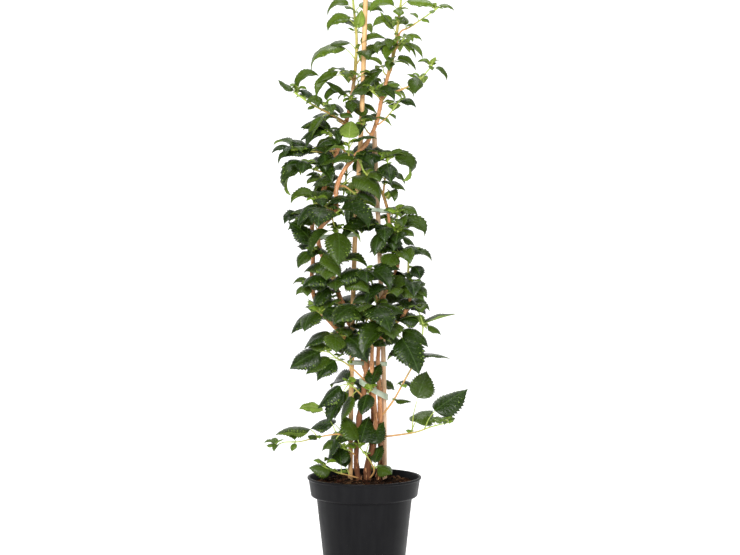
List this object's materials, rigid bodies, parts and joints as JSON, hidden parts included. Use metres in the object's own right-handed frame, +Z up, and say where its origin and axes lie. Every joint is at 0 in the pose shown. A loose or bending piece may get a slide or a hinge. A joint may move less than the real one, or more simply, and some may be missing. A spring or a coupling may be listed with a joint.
{
  "type": "potted climbing hydrangea",
  "caption": "Potted climbing plant: leafy woody stems wind up tied bamboo canes that stand in a plain round nursery pot of compost.",
  "frame": {"origin": "centre of the flat underside of the pot, at the height of the surface it stands on", "axes": "+Z up along the pot's axis, -Y towards the front of the plant, +X to the right seen from the front"},
  "size_m": [0.2579, 0.1744, 0.8154],
  "materials": {
    "pot": "satin",
    "soil": "matte",
    "cane": "satin",
    "stem": "matte",
    "tie": "satin",
    "foliage": "satin"
  },
  "bodies": {
    "root": {"cane_left": "cane", "cane_right": "cane", "nursery_pot": "pot", "potting_soil": "soil", "shoot_back_24": "foliage", "shoot_back_37": "foliage", "shoot_back_57": "foliage", "shoot_back_64": "foliage", "shoot_far_right": "foliage", "shoot_front_25": "foliage", "shoot_front_35": "foliage", "shoot_front_48": "foliage", "shoot_front_56": "foliage", "shoot_left_19": "foliage", "shoot_left_25": "foliage", "shoot_left_29": "foliage", "shoot_left_33": "foliage", "shoot_left_35": "foliage", "shoot_left_38": "foliage", "shoot_left_39": "foliage", "shoot_left_43": "foliage", "shoot_left_47": "foliage", "shoot_left_49": "foliage", "shoot_left_52": "foliage", "shoot_left_54": "foliage", "shoot_left_57": "foliage", "shoot_left_59": "foliage", "shoot_left_62": "foliage", "shoot_left_63": "foliage", "shoot_left_64": "foliage", "shoot_left_66": "foliage", "shoot_low_edge": "foliage", "shoot_low_front": "foliage", "shoot_low_left": "foliage", "shoot_middle_41": "foliage", "shoot_middle_46": "foliage", "shoot_middle_60": "foliage", "shoot_middle_64": "foliage", "shoot_right_20": "foliage", "shoot_right_33": "foliage", "shoot_right_35": "foliage", "shoot_right_38": "foliage", "shoot_right_39": "foliage", "shoot_right_43": "foliage", "shoot_right_45": "foliage", "shoot_right_48": "foliage", "shoot_right_54": "foliage", "shoot_right_62": "foliage", "shoot_right_66": "foliage", "shoot_right_71": "foliage", "shoot_right_73": "foliage", "stem_front": "stem", "stem_left": "stem", "stem_middle": "stem", "stem_right": "stem", "tie_canes": "tie", "tie_left": "tie", "tie_low": "tie", "tie_right": "tie"}
  },
  "joints": []
}
